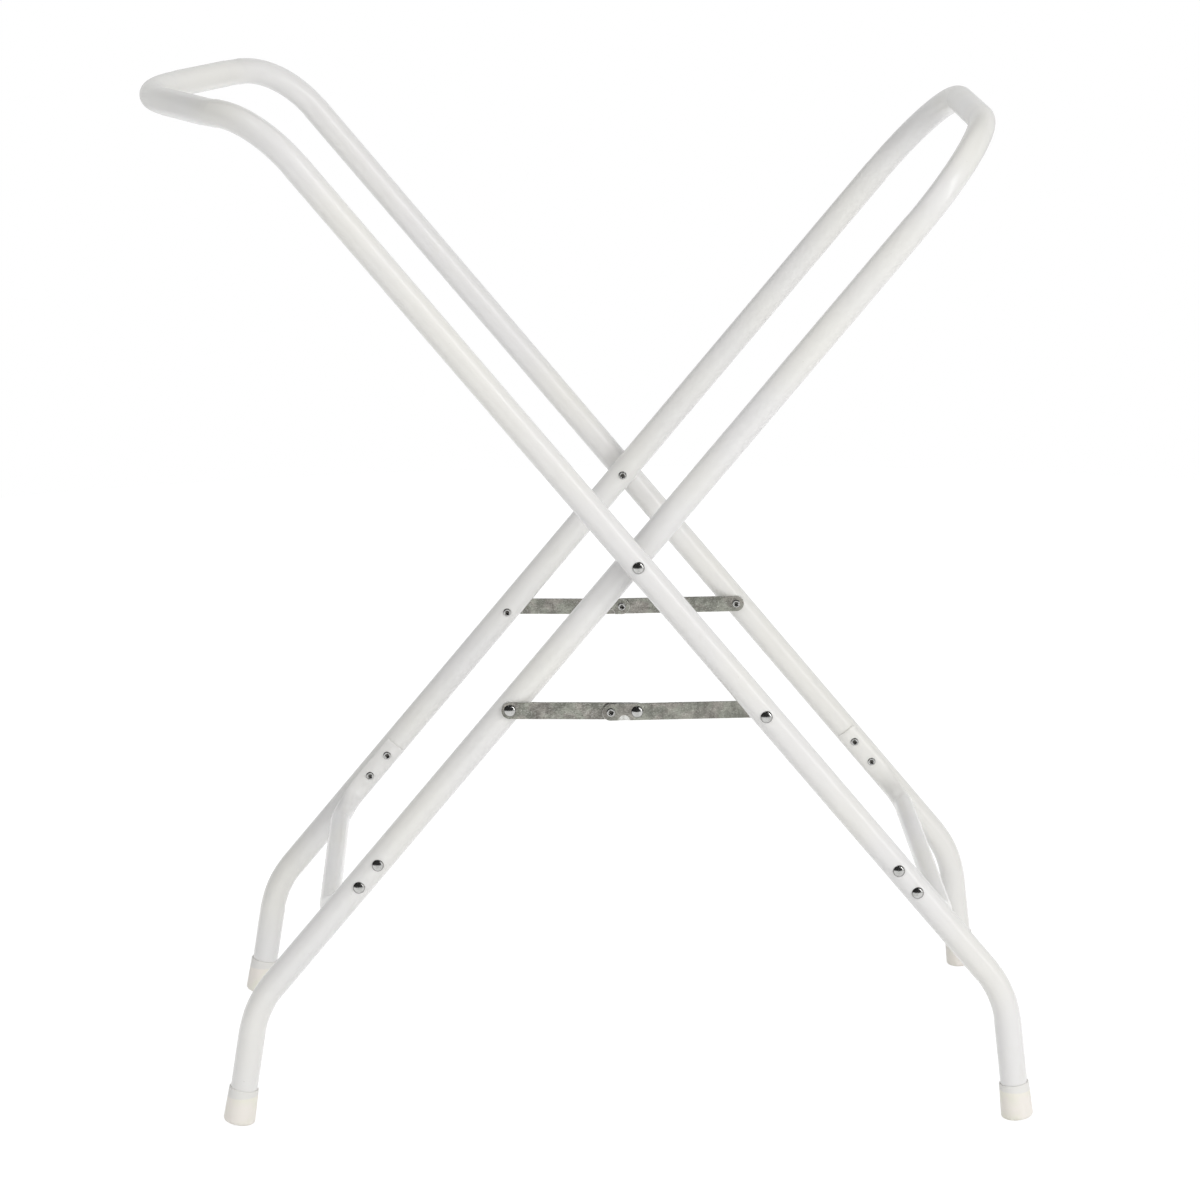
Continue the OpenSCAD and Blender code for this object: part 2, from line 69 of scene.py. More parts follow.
# ---------------------------------------------------------------- the studio
FLOOR_R, FLOOR_DROP, FLOOR_POINTS = 2.8, 0.0004, 64
PAPER, PAPER_SHADE, PAPER_GLOW = 0.84, 0.16, 0.95  # as it lights, and as it is seen with its shadow
ROOM_LIGHT = 0.40
AIM = Vector((0, 0, 0.45))
DARK_TOWARDS = (-0.22, -0.45, 1)  # in gloss the room darkens this way, above and behind the camera
GLOSS_FADE = (("From Min", -0.02), ("From Max", 0.34), ("To Min", 0.72), ("To Max", 0.035))
WARM, NEUTRAL = (1.0, 0.995, 0.985), (1.0, 1.0, 1.0)
SOFTBOXES = (  # place, width and length, direction of the length, watts, tint, shown in gloss
    ("key_softbox", (2.0, -3.8, 1.9), (3.6, 3.6), (0, 0, 1), 75.0, WARM, False),
    ("top_softbox", (0.5, 0.3, 3.4), (2.0, 2.0), (0, 1, 0), 13.0, WARM, False),
    ("back_softbox", (1.0, 3.4, 1.7), (2.6, 2.6), (0, 0, 1), 26.0, WARM, False),
    ("right_strip", (2.55, -2.08, 1.78), (0.4, 3.2), (0.629, 0, -0.777), 22.0, NEUTRAL, True),
    ("left_strip", (-2.55, -2.08, 1.78), (0.4, 3.2), (-0.649, 0, -0.760), 22.0, NEUTRAL, False),
    ("overhead_lamp", (-0.77, -0.87, 2.8), (0.3, 0.3), (0, 1, 0), 1.6, NEUTRAL, True),
)

# ---------------------------------------------------------------- the photograph's camera
CAMERA_AT = (-0.08042, -3.6517, 1.3336)
CAMERA_YAW, CAMERA_PITCH, CAMERA_ROLL = math.radians(1.48), math.radians(13.61), math.radians(-0.89)
FOCAL_PIXELS, PHOTO_PIXELS, SENSOR_MM = 3932.3, 1200, 36.0


def middle(node):
    low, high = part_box(node)
    return (Vector(low) + Vector(high)) / 2


def out_to(node):
    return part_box(node)[1][1]


HALF_W = {"outer": out_to("outer_frame_tube") - TUBE_R, "inner": out_to("inner_frame_tube") - TUBE_R}
PIVOT = middle("front_pivot_rivet")
PIVOT.y = 0
PIN = {"outer": middle("front_outer_strut_rivet"), "inner": middle("front_inner_strut_rivet")}
KNEE = middle("front_knee_rivet_head")


def unit(v):
    return v.normalized()


def flip_y(p):
    return Vector((p.x, -p.y, p.z))


def on_leg(which, down, y):
    """A point on a leg's axis, down below the pivot along the leg."""
    return PIVOT + Vector((SIGN[which] * math.sin(LEAN[which]) * down, y, -math.cos(LEAN[which]) * down))


def shin_up(which):
    return Vector((-SIGN[which] * math.sin(SHIN_LEAN[which]), 0, math.cos(SHIN_LEAN[which])))


def cap_base(which):
    """Middle of a front foot cap's base."""
    lean, shin, ankle = LEAN[which], SHIN_LEAN[which], ANKLE_AT[which]
    reach = ankle * math.sin(lean) + (PIVOT.z - ankle * math.cos(lean)) * math.tan(shin)
    lift = (CAP_BASE_D / 2 - CAP_ROUND) * math.sin(shin) + CAP_ROUND * (1 - math.cos(shin)) - CAP_FLAT
    floor_point = Vector((PIVOT.x + SIGN[which] * reach, -HALF_W[which], 0))
    return floor_point + shin_up(which) * lift / math.cos(shin)


def axes(x, y, place):
    """The matrix that puts X along x, Y along y and the origin at place."""
    z = x.cross(y)
    m = Matrix((x, y, z)).transposed().to_4x4()
    m.translation = place
    return m


def leg_axes(which, down):
    """X down a front leg, Z forward, origin on the leg's axis."""
    along = Vector((SIGN[which] * math.sin(LEAN[which]), 0, -math.cos(LEAN[which])))
    return axes(along, Vector((0, -1, 0)).cross(along), on_leg(which, down, -HALF_W[which]))


def bar_axes(which):
    """X from a front strut's leg pin to the knee, Z forward, origin on the inner leg's side."""
    pin = PIN[which].copy()
    pin.y = -HALF_W["inner"] - TUBE_R
    knee = KNEE.copy()
    knee.y = pin.y
    along = unit(knee - pin)
    return axes(along, Vector((0, -1, 0)).cross(along), pin)


MIRROR = Matrix.Scale(-1, 4, Vector((0, 1, 0)))


# ---------------------------------------------------------------- finishes
class Finish:
    """One material and short ways to add to its node tree."""

    def __init__(self, name, colour, roughness, metallic=0.0, **sockets):
        self.mat = bpy.data.materials.new(name)
        self.mat.use_nodes = True
        self.tree = self.mat.node_tree
        self.skin = self.tree.nodes["Principled BSDF"]
        self.skin.inputs["Base Color"].default_value = (*colour, 1)
        self.skin.inputs["Roughness"].default_value = roughness
        self.skin.inputs["Metallic"].default_value = metallic
        for socket, value in sockets.items():
            self.skin.inputs[socket.replace("_", " ")].default_value = value
        self.place = self.tree.nodes.new("ShaderNodeTexCoord").outputs["Object"]

    def join(self, a, b):
        self.tree.links.new(a, b)

    def noise(self, size, detail=2.0, rough=0.5, stretch=None, turn=(0, 0, 0)):
        """Noise whose features are about size metres. stretch lengthens them along each axis."""
        node = self.tree.nodes.new("ShaderNodeTexNoise")
        node.inputs["Scale"].default_value = 1 / size
        node.inputs["Detail"].default_value = detail
        node.inputs["Roughness"].default_value = rough
        where = self.place
        if stretch:
            turned = self.tree.nodes.new("ShaderNodeMapping")
            turned.vector_type = "TEXTURE"
            turned.inputs["Rotation"].default_value = turn
            turned.inputs["Scale"].default_value = stretch
            self.join(where, turned.inputs["Vector"])
            where = turned.outputs["Vector"]
        self.join(where, node.inputs["Vector"])
        return node.outputs["Fac"]

    def ramp(self, value, low, high, to_low=0.0, to_high=1.0):
        node = self.tree.nodes.new("ShaderNodeMapRange")
        node.interpolation_type = "SMOOTHSTEP"
        self.join(value, node.inputs["Value"])
        for socket, number in zip(("From Min", "From Max", "To Min", "To Max"), (low, high, to_low, to_high)):
            node.inputs[socket].default_value = number
        return node.outputs["Result"]

    def math(self, kind, a, b):
        node = self.tree.nodes.new("ShaderNodeMath")
        node.operation = kind
        for socket, value in zip(node.inputs, (a, b)):
            if isinstance(value, (int, float)):
                socket.default_value = value
            else:
                self.join(value, socket)
        return node.outputs[0]

    def blend(self, amount, a, b, kind="MIX"):
        """Colour a where amount is 0 and b where it is 1."""
        node = self.tree.nodes.new("ShaderNodeMix")
        node.data_type = "RGBA"
        node.blend_type = kind
        if isinstance(amount, (int, float)):
            node.inputs[0].default_value = amount
        else:
            self.join(amount, node.inputs[0])
        for socket, value in zip((node.inputs[6], node.inputs[7]), (a, b)):
            if isinstance(value, tuple):
                socket.default_value = (*value, 1)
            else:
                self.join(value, socket)
        return node.outputs[2]

    def attribute(self, name):
        node = self.tree.nodes.new("ShaderNodeAttribute")
        node.attribute_name = name
        return node.outputs["Fac"]

    def height(self):
        """Height above the floor, in metres."""
        node = self.tree.nodes.new("ShaderNodeSeparateXYZ")
        self.join(self.place, node.inputs[0])
        return node.outputs["Z"]

    def bump(self, *layers):
        """Layers of (height, depth in metres)."""
        normal = None
        for value, depth in layers:
            node = self.tree.nodes.new("ShaderNodeBump")
            node.inputs["Strength"].default_value = 1.0
            node.inputs["Distance"].default_value = depth
            self.join(value, node.inputs["Height"])
            if normal:
                self.join(normal, node.inputs["Normal"])
            normal = node.outputs["Normal"]
        self.join(normal, self.skin.inputs["Normal"])

    def colour(self, value):
        self.join(value, self.skin.inputs["Base Color"])

    def roughness(self, value):
        self.join(value, self.skin.inputs["Roughness"])


def make_white_enamel():
    """Thick white stoving enamel: glossy, with a faint orange peel, small runs and rub marks."""
    coat = {"Coat_Weight": 1.0, "Coat_IOR": 1.5, "Coat_Roughness": 0.25}
    f = Finish("white_enamel", (0.81, 0.80, 0.77), 0.36, Specular_IOR_Level=0.25, **coat)
    # Warm and cool patches of tint: a painted reflection of coloured light, laid at random.
    shade = f.blend(f.ramp(f.noise(0.16, 1), 0.38, 0.62), (0.825, 0.813, 0.775), (0.808, 0.798, 0.788))
    rub = f.ramp(f.noise(0.012, 3, 0.6, stretch=(1, 1, 3)), 0.56, 0.80)
    speck = f.ramp(f.noise(0.0024, 1), 0.80, 0.84)
    f.colour(f.blend(speck, f.blend(rub, shade, (0.785, 0.775, 0.75)), (0.62, 0.60, 0.56)))
    f.roughness(f.math("ADD", f.ramp(f.noise(0.03, 3), 0.3, 0.7, 0.28, 0.38), f.math("MULTIPLY", rub, 0.08)))
    f.bump((f.noise(0.0045, 1), 0.0000015), (f.noise(0.05, 1), 0.00003))
    return f.mat


def make_cream_cap():
    """Milky soft plastic: cream with faint pink, satin, and clearer where its rim is thin over the tube."""
    f = Finish("cream_cap", (0.87, 0.84, 0.765), 0.42)
    shade = f.blend(f.ramp(f.noise(0.022, 2), 0.36, 0.64), (0.885, 0.84, 0.785), (0.865, 0.845, 0.75))
    scuff = f.ramp(f.noise(0.0022, 3, 0.6, stretch=(1, 1, 5)), 0.70, 0.78)
    near_floor = f.ramp(f.height(), 0.0, 0.006, 1.0, 0.0)
    dust = f.math("MULTIPLY", near_floor, f.ramp(f.noise(0.003, 4, 0.65), 0.4, 0.7, 0.0, 0.5))
    clear = f.ramp(f.height(), 0.0262, 0.0282)
    body = f.blend(dust, f.blend(scuff, shade, (0.79, 0.76, 0.69)), (0.66, 0.63, 0.56))
    f.colour(f.blend(f.math("MULTIPLY", clear, 0.85), body, (0.80, 0.79, 0.765)))
    f.roughness(f.ramp(f.noise(0.01, 3), 0.3, 0.7, 0.34, 0.50))
    f.bump((f.noise(0.0011, 2), 0.00002), (f.noise(0.012, 2), 0.00012), (scuff, -0.00003))
    return f.mat


def make_zinc_steel():
    """Zinc-plated strip: mottled grey, a little pink and green, with grain, drawn lines, and bright edges
    that are partly wear and partly a painted highlight.
    """
    f = Finish("zinc_steel", (0.27, 0.265, 0.245), 0.36, metallic=1.0)
    cloud = f.blend(f.ramp(f.noise(0.011, 5, 0.65), 0.38, 0.62), (0.46, 0.455, 0.41), (0.25, 0.245, 0.22))
    tint = f.blend(f.ramp(f.noise(0.015, 2), 0.42, 0.62), (0.965, 1.0, 0.955), (1.0, 0.955, 0.955))
    grain = f.noise(0.0009, 4, 0.75, stretch=(1.8, 1, 1))
    drawn = f.noise(0.0007, 4, 0.7, stretch=(18, 1, 1))
    slant = (0, math.radians(24), 0)
    scratch = f.ramp(f.noise(0.0011, 2, 0.5, stretch=(14, 1, 2), turn=slant), 0.71, 0.76, 0.0, 0.5)
    # Bright sheared edges: part wear, part painted highlight where the edge catches the light.
    edge_tone = f.math("MULTIPLY", f.attribute("edge"), f.ramp(f.noise(0.003, 3), 0.3, 0.55, 0.5, 1.0))
    base = f.blend(1.0, cloud, tint, "MULTIPLY")
    base = f.blend(f.ramp(grain, 0.55, 0.66), base, (0.68, 0.68, 0.64))
    base = f.blend(f.ramp(grain, 0.46, 0.34), base, (0.12, 0.115, 0.10))
    base = f.blend(f.math("MULTIPLY", f.ramp(drawn, 0.3, 0.7), 0.25), base, (0.36, 0.36, 0.34))
    base = f.blend(scratch, base, (0.45, 0.45, 0.43))
    f.colour(f.blend(edge_tone, base, (0.94, 0.94, 0.91)))
    f.roughness(f.ramp(f.noise(0.004, 5, 0.7), 0.3, 0.7, 0.26, 0.46))
    f.bump((drawn, 0.00003), (scratch, -0.00004), (f.noise(0.0025, 3), 0.00009))
    return f.mat


def make_bright_rivet():
    """Bright nickel-plated rivets, a little cloudy, with painted shade round the foot of each head and tail
    and down the hollow of each rolled tail.
    """
    f = Finish("bright_rivet", (0.58, 0.58, 0.57), 0.12, metallic=1.0)
    shade = f.blend(f.ramp(f.noise(0.004, 4, 0.6), 0.35, 0.7), (0.56, 0.56, 0.55), (0.44, 0.44, 0.425))
    # The edge value paints shade: near black at the foot of each head and tail and in each rolled tail's
    # hollow.
    f.colour(f.blend(f.math("MULTIPLY", f.attribute("edge"), 0.95), shade, (0.06, 0.058, 0.052)))
    f.roughness(f.ramp(f.noise(0.0016, 4, 0.7), 0.3, 0.7, 0.15, 0.26))
    f.bump((f.noise(0.002, 2), 0.00002))
    return f.mat


def make_nylon():
    """Milky nylon washers."""
    f = Finish("nylon", (0.74, 0.74, 0.71), 0.5)
    f.colour(f.blend(f.ramp(f.noise(0.005, 3), 0.3, 0.7), (0.76, 0.76, 0.73), (0.70, 0.695, 0.66)))
    f.roughness(f.ramp(f.noise(0.003, 3), 0.3, 0.7, 0.42, 0.58))
    f.bump((f.noise(0.0007, 2), 0.00003))
    return f.mat


FINISH = {
    "white_enamel": make_white_enamel(),
    "cream_cap": make_cream_cap(),
    "zinc_steel": make_zinc_steel(),
    "bright_rivet": make_bright_rivet(),
    "nylon": make_nylon(),
}


# ---------------------------------------------------------------- meshes
SHARP_STEEL, SHARP_WASHER, SHARP_TUBE, SHARP_CAP, SHARP_RIVET = 35, 35, 50, 40, 50  # degrees


def new_piece(name, points, faces, finish=None):
    mesh = bpy.data.meshes.new(name)
    mesh.from_pydata([tuple(p) for p in points], [], faces)
    mesh.validate()
    mesh.update()
    for polygon in mesh.polygons:
        polygon.use_smooth = True
    piece = bpy.data.objects.new(name, mesh)
    bpy.context.collection.objects.link(piece)
    if finish:
        mesh.materials.append(FINISH[finish])
    return piece


def hand_over(piece, body, slot, *nodes):
    """Lets a finished piece ride on its body, in the place of its CAD nodes."""
    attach(piece, body)
    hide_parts(*nodes)


def sharpen(mesh, degrees):
    """Marks the edges as sharp where faces meet at more than that angle."""
    mesh.set_sharp_from_angle(angle=math.radians(degrees))


class Stock:
    """Points and faces that several shapes add to, with an edge value for each point, which brightens the
    edges as wear and painted highlight.
    """

    def __init__(self):
        self.points, self.faces, self.edge = [], [], []

    def add(self, points, faces, edge=None, place=None, mirror=False):
        """Adds a shape, and on request its mirror image on the back, with its faces turned round."""
        place = place or Matrix.Identity(4)
        for m in (place, MIRROR @ place) if mirror else (place,):
            start = len(self.points)
            turned = m.determinant() < 0
            self.points += [m @ Vector(p) for p in points]
            self.faces += [[start + i for i in (reversed(f) if turned else f)] for f in faces]
            self.edge += edge or [0.0] * len(points)

    def piece(self, name, finish):
        """One piece of all the shapes. Its four-sided faces are smooth, and its large flats are flat."""
        made = new_piece(name, self.points, self.faces, finish)
        edge_tone = made.data.attributes.new("edge", "FLOAT", "POINT")
        edge_tone.data.foreach_set("value", self.edge)
        sharpen(made.data, SHARP_STEEL)
        for polygon in made.data.polygons:
            polygon.use_smooth = polygon.loop_total == 4
        return made


def rings_to_faces(count, per_ring, closed_ends=True, first=0):
    """Walls between neighbouring rings, counted the way that turns them outwards, and the two ends."""
    faces = []
    for i in range(count - 1):
        for k in range(per_ring):
            a, b = first + i * per_ring + k, first + i * per_ring + (k + 1) % per_ring
            faces.append((a, b, b + per_ring, a + per_ring))
    if closed_ends:
        faces.append(tuple(reversed(range(first, first + per_ring))))
        last = first + (count - 1) * per_ring
        faces.append(tuple(range(last, last + per_ring)))
    return faces


# ---------------------------------------------------------------- the bent frame tubes, by geometry nodes
def bent_path(corners, radii, step=math.radians(2.5)):
    """Points along a path whose inner corners are bent to the radii, and 1 for each point inside a bend."""
    points, in_bend = [corners[0]], [0.0]
    for before, here, after, radius in zip(corners, corners[1:], corners[2:], radii):
        u, w = unit(here - before), unit(after - here)
        turn = u.angle(w)
        trim = radius * math.tan(turn / 2)
        inward = unit(w - u * w.dot(u))
        centre = here - u * trim + inward * radius
        count = max(4, math.ceil(turn / step))
        for i in range(count + 1):
            a = turn * i / count
            points.append(centre + (u * math.sin(a) - inward * math.cos(a)) * radius)
            in_bend.append(0.0 if i in (0, count) else 1.0)
    return points + [corners[-1]], in_bend + [0.0]


def tube_bender():
    """Node tree that lays a round tube along a line of points, drawn a little thinner in its bends."""
    tree = bpy.data.node_groups.new("tube_bender", "GeometryNodeTree")
    ports = tree.interface
    ports.new_socket("Path", in_out="INPUT", socket_type="NodeSocketGeometry")
    ports.new_socket("Tube Radius", in_out="INPUT", socket_type="NodeSocketFloat")
    ports.new_socket("Bend Draw", in_out="INPUT", socket_type="NodeSocketFloat")
    ports.new_socket("Round Points", in_out="INPUT", socket_type="NodeSocketInt")
    ports.new_socket("Enamel", in_out="INPUT", socket_type="NodeSocketMaterial")
    ports.new_socket("Tube", in_out="OUTPUT", socket_type="NodeSocketGeometry")
    add, join = tree.nodes.new, tree.links.new
    given, made = add("NodeGroupInput"), add("NodeGroupOutput")
    line, lay = add("GeometryNodeMeshToCurve"), add("GeometryNodeCurveToMesh")
    ring = add("GeometryNodeCurvePrimitiveCircle")
    bend = add("GeometryNodeInputNamedAttribute")
    bend.data_type = "FLOAT"
    bend.inputs["Name"].default_value = "in_bend"
    drawn, left = add("ShaderNodeMath"), add("ShaderNodeMath")
    drawn.operation, left.operation = "MULTIPLY", "SUBTRACT"
    radius = add("GeometryNodeSetCurveRadius")
    smooth, real = add("GeometryNodeSetShadeSmooth"), add("GeometryNodeRealizeInstances")
    paint = add("GeometryNodeSetMaterial")
    join(given.outputs["Path"], line.inputs["Mesh"])
    join(line.outputs["Curve"], radius.inputs["Curve"])
    join(bend.outputs["Attribute"], drawn.inputs[0])
    join(given.outputs["Bend Draw"], drawn.inputs[1])
    join(given.outputs["Tube Radius"], left.inputs[0])
    join(drawn.outputs[0], left.inputs[1])
    join(left.outputs[0], radius.inputs["Radius"])
    ring.inputs["Radius"].default_value = 1.0
    join(given.outputs["Round Points"], ring.inputs["Resolution"])
    join(radius.outputs["Curve"], lay.inputs["Curve"])
    join(ring.outputs["Curve"], lay.inputs["Profile Curve"])
    if "Scale" in lay.inputs:  # where the node has it, it replaces the curve's radius
        join(left.outputs[0], lay.inputs["Scale"])
    lay.inputs["Fill Caps"].default_value = True
    join(lay.outputs["Mesh"], smooth.inputs["Geometry"])
    join(smooth.outputs["Geometry"], real.inputs["Geometry"])
    join(real.outputs["Geometry"], paint.inputs["Geometry"])
    join(given.outputs["Enamel"], paint.inputs["Material"])
    join(paint.outputs["Geometry"], made.inputs["Tube"])
    return tree


def run_tree(source, tree, name, **values):
    """Runs a node tree on source and keeps the result as one plain mesh piece."""
    work = source.modifiers.new("work", "NODES")
    work.node_group = tree
    for item in tree.interface.items_tree:
        if item.in_out == "INPUT" and item.name in values:
            work[item.identifier] = values[item.name]
    bpy.context.view_layer.update()
    ready = source.evaluated_get(bpy.context.evaluated_depsgraph_get())
    mesh = bpy.data.meshes.new_from_object(ready)
    mesh.name = name
    piece = bpy.data.objects.new(name, mesh)
    bpy.context.collection.objects.link(piece)
    bpy.data.objects.remove(source)
    return piece


def path_line(name, points, **attributes):
    mesh = bpy.data.meshes.new(name)
    mesh.from_pydata([tuple(p) for p in points], [(i, i + 1) for i in range(len(points) - 1)], [])
    for attribute, values in attributes.items():
        mesh.attributes.new(attribute, "FLOAT", "POINT").data.foreach_set("value", values)
    line = bpy.data.objects.new(name, mesh)
    bpy.context.collection.objects.link(line)
    return line


TUBE_POINTS = 64  # round a frame tube
BENDER = tube_bender()


def bend_tube(name, corners, radii):
    points, in_bend = bent_path(corners, radii)
    values = {"Tube Radius": TUBE_R, "Bend Draw": BEND_DRAW, "Round Points": TUBE_POINTS}
    values["Enamel"] = FINISH["white_enamel"]
    return run_tree(path_line(name + "_line", points, in_bend=in_bend), BENDER, name, **values)


def there_and_back(half):
    """A path and its mirror image; a last point at the middle is kept once."""
    turn_back = half[:-1] if abs(half[-1].y) < 1e-6 else half
    return half + [flip_y(p) for p in reversed(turn_back)]


def build_frame_tubes():
    low = {w: cap_base(w) + shin_up(w) * CAP_FLOOR for w in SIGN}
    knuckle = {w: on_leg(w, ANKLE_AT[w], -HALF_W[w]) for w in SIGN}
    over = on_leg("outer", -OUTER_TOP, -HALF_W["outer"])
    corner = over + Vector((-CORNER_OUT, CORNER_IN, 0))
    bow = Vector((over.x - BOW_OUT, 0, over.z))
    outer = bend_tube(
        "outer_hoop_tube",
        there_and_back([low["outer"], knuckle["outer"], over, corner, bow]),
        [ANKLE_R, OVER_R, CORNER_R, BOW_R, CORNER_R, OVER_R, ANKLE_R],
    )
    hand_over(outer, "outer_frame", "white_enamel", "outer_frame_tube")
    top = on_leg("inner", -INNER_TOP, -HALF_W["inner"])
    inner = bend_tube(
        "inner_hoop_tube",
        there_and_back([low["inner"], knuckle["inner"], top]),
        [ANKLE_R, HOOP_R, HOOP_R, ANKLE_R],
    )
    hand_over(inner, "inner_frame", "white_enamel", "inner_frame_tube")


# ---------------------------------------------------------------- the cross braces
PRESS_IN = TUBE_R + 0.0001
PRESS_OUT = PRESS_IN + 2 * BRACE_WALL
PRESS_TO = BRACE_RIVETS[1] + 0.007
BRACE_OFF = PRESS_IN + 0.0004 + BRACE_D / 2
ARC_STEPS, FOLD_STEPS = 18, 6  # along each face of the pressed band, and round each folded edge
PRESS_STEPS, SWELL_STEPS, BAR_STEPS = 7, 40, 5  # along the pressed end, round the corner, and to the middle
ROUND_BY = 0.7  # share of the way to the corner's end at which the tube is round again
EDGE_ROUND = ((0.0, 0.0019), (0.0006, 0.0009), (0.0016, 0.0003), (0.003, 0.0))  # distance and shrinkage


def pressed_ring(shrink=0.0):
    """The pressed end's outline, a band wrapped round the leg whose two edges are folded round."""
    middle_r, half = (PRESS_IN + PRESS_OUT) / 2, BRACE_WALL - shrink * 0.3
    end = WRAP - (half + shrink) / middle_r
    ring = []
    for k in range(ARC_STEPS + 1):
        a = end * (2 * k / ARC_STEPS - 1)
        ring.append(((middle_r + half) * math.cos(a), (middle_r + half) * math.sin(a)))
    for s in (1, -1):
        for k in range(1, FOLD_STEPS):
            t = math.pi * k / FOLD_STEPS
            r = middle_r + s * half * math.cos(t)
            a = s * (end + half * math.sin(t) / middle_r)
            ring.append((r * math.cos(a), r * math.sin(a)))
        if s == 1:
            for j in range(ARC_STEPS + 1):
                a = end * (1 - 2 * j / ARC_STEPS)
                ring.append(((middle_r - half) * math.cos(a), (middle_r - half) * math.sin(a)))
    return ring


def round_ring(n):
    """The round tube's outline, with the pressed outline's number of points and their order."""
    return [
        (BRACE_OFF + BRACE_D / 2 * math.cos(a), BRACE_D / 2 * math.sin(a))
        for a in (2 * math.pi * (k + 0.5) / n - math.pi / 2 - math.radians(3) for k in range(n))
    ]


def build_brace(which):
    """One end's rings from the pressed edge, along the leg, round the corner and out to the middle."""
    flat = pressed_ring()
    n = len(flat)
    tube = round_ring(n)
    lead = BRACE_AT - BRACE_R - PRESS_TO
    whole = lead + BRACE_R * math.pi / 2
    rings = []

    def ring_at(section, x, y, turn):
        sine, cosine = math.sin(turn), math.cos(turn)
        return [(x - sine * (px - BRACE_OFF), y + cosine * (px - BRACE_OFF), pz) for px, pz in section]

    side = -HALF_W[which] + BRACE_OFF
    for x, shrink in EDGE_ROUND:
        rings.append(ring_at(pressed_ring(shrink), BRACE_END + x, side, 0.0))
    rounded = EDGE_ROUND[-1][0]
    for i in range(1, PRESS_STEPS):
        x = BRACE_END + rounded + (PRESS_TO - BRACE_END - rounded) * i / PRESS_STEPS
        rings.append(ring_at(flat, x, side, 0.0))
    for i in range(SWELL_STEPS + 1):
        u = i / SWELL_STEPS
        gone = u * whole
        turn = 0.0 if gone < lead else (gone - lead) / BRACE_R
        t = min(1.0, u / ROUND_BY)
        w = t * t * (3 - 2 * t)
        section = [tuple((1 - w) * a + w * b for a, b in zip(p, q)) for p, q in zip(flat, tube)]
        x = PRESS_TO + min(gone, lead) + BRACE_R * math.sin(turn)
        rings.append(ring_at(section, x, side + BRACE_R * (1 - math.cos(turn)), turn))
    last = rings[-1]
    for i in range(1, BAR_STEPS):
        rings.append([(x, y * (1 - i / BAR_STEPS), z) for x, y, z in last])
    rings += [[(x, -y, z) for x, y, z in ring] for ring in reversed(rings)]
    along = Vector((SIGN[which] * math.sin(LEAN[which]), 0, -math.cos(LEAN[which])))
    place = axes(along, Vector((0, 1, 0)), PIVOT)
    points = [place @ Vector(p) for ring in rings for p in ring]
    faces = rings_to_faces(len(rings), n)
    brace = new_piece(which + "_brace", points, faces, "white_enamel")
    outwards(brace.data)
    sharpen(brace.data, SHARP_TUBE)
    hand_over(brace, which + "_frame", "white_enamel", which + "_cross_brace")


def outwards(mesh):
    """Turns the faces outwards by the sign of the closed mesh's volume."""
    mesh.calc_loop_triangles()
    v = mesh.vertices
    volume = sum(
        v[t.vertices[0]].co.dot(v[t.vertices[1]].co.cross(v[t.vertices[2]].co)) for t in mesh.loop_triangles
    )
    if volume < 0:
        mesh.flip_normals()


# ---------------------------------------------------------------- the foot caps
CAP_POINTS = 72


def cap_profile():
    """Radius and height along a cap's skin, from its base out, up, over the rim and down the bore."""
    base_r, rim_r, bore_r = CAP_BASE_D / 2, CAP_RIM_D / 2, TUBE_R + PIN_PLAY
    line = [(base_r - CAP_ROUND, 0.0)]
    for k in range(1, 9):
        a = math.pi / 2 * k / 8
        line.append((base_r - CAP_ROUND + CAP_ROUND * math.sin(a), CAP_ROUND * (1 - math.cos(a))))
    for t in (0.25, 0.5, 0.75):
        line.append((base_r + (rim_r - base_r) * t, CAP_ROUND + (CAP_H - CAP_ROUND) * t))
    lip = 0.0005
    for k in range(6):
        a = math.pi / 2 * k / 5
        line.append((rim_r - lip + lip * math.cos(a), CAP_H - lip + lip * math.sin(a)))
    line += [(bore_r + 0.0002, CAP_H), (bore_r, CAP_H - 0.0003), (bore_r, CAP_FLOOR)]
    return line


def build_foot(which, side):
    profile, n = cap_profile(), CAP_POINTS
    up = shin_up(which)
    x_axis = Vector((0, 1, 0)).cross(up)
    place = axes(x_axis, Vector((0, 1, 0)), cap_base(which))
    points = []
    for r, h in profile:
        for k in range(n):
            a = 2 * math.pi * k / n
            p = place @ Vector((r * math.cos(a), r * math.sin(a), h))
            p.z = max(p.z, 0.0)
            points.append(p if side == FRONT else flip_y(p))
    name = f"{which}_{'front' if side == FRONT else 'back'}_foot"
    foot = new_piece(name + "_cap", points, rings_to_faces(len(profile), n), "cream_cap")
    outwards(foot.data)
    sharpen(foot.data, SHARP_CAP)
    hand_over(foot, which + "_frame", "cream_cap", name)


# ---------------------------------------------------------------- the strut bars
LIP = 0.0003  # rounding of a bar's sheared edge
HOLE_POINTS = 32
EAR_DEPTH = 0.55  # share of the bar's thickness that the ear's notch takes


